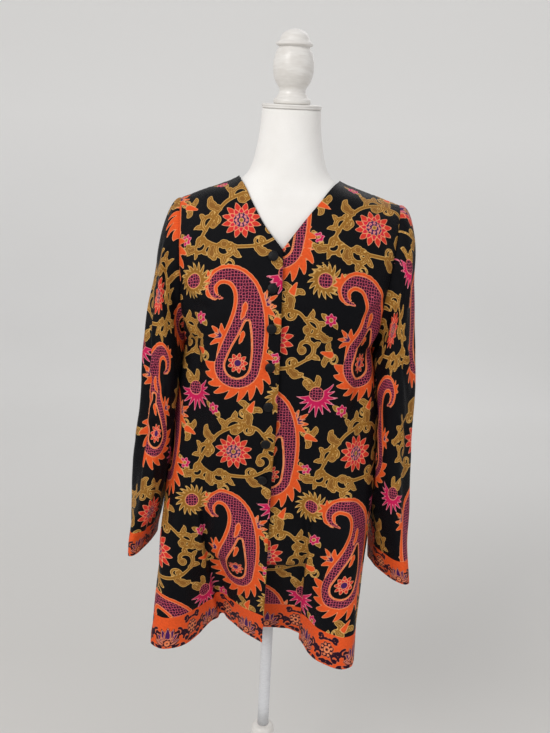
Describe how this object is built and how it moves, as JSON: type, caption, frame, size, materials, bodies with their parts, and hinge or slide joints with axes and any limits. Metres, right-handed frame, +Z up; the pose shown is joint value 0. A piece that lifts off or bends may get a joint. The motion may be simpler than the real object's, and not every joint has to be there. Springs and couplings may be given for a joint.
{
  "type": "blouse on a dress form",
  "caption": "Long-sleeved V-necked blouse with a curved hem, buttoned down the front, worn by a limbless dress form that stands on a pole and a round base.",
  "frame": {"origin": "on the floor, under the middle of the stand's pole", "axes": "+Z up, -Y out of the blouse's front, +X towards the wearer's left"},
  "size_m": [0.4952, 0.33, 1.5744],
  "materials": {
    "printed_silk": "light plain-woven silk, black ground, printed in gold, orange, pink, red and violet",
    "covered_button": "black silk drawn over a button mould",
    "white_jersey": "smooth stretched cotton jersey",
    "white_wood": "turned, painted white, satin",
    "white_metal": "white, satin"
  },
  "bodies": {
    "root": {"back": "printed_silk", "button_1": "covered_button", "button_2": "covered_button", "button_3": "covered_button", "button_4": "covered_button", "button_5": "covered_button", "button_6": "covered_button", "button_7": "covered_button", "finial": "white_wood", "form_torso": "white_jersey", "front_left": "printed_silk", "front_right": "printed_silk", "neck_cap": "white_wood", "pole": "white_metal", "sleeve_left": "printed_silk", "sleeve_right": "printed_silk", "stand_base": "white_wood", "stand_column": "white_wood"}
  },
  "joints": []
}
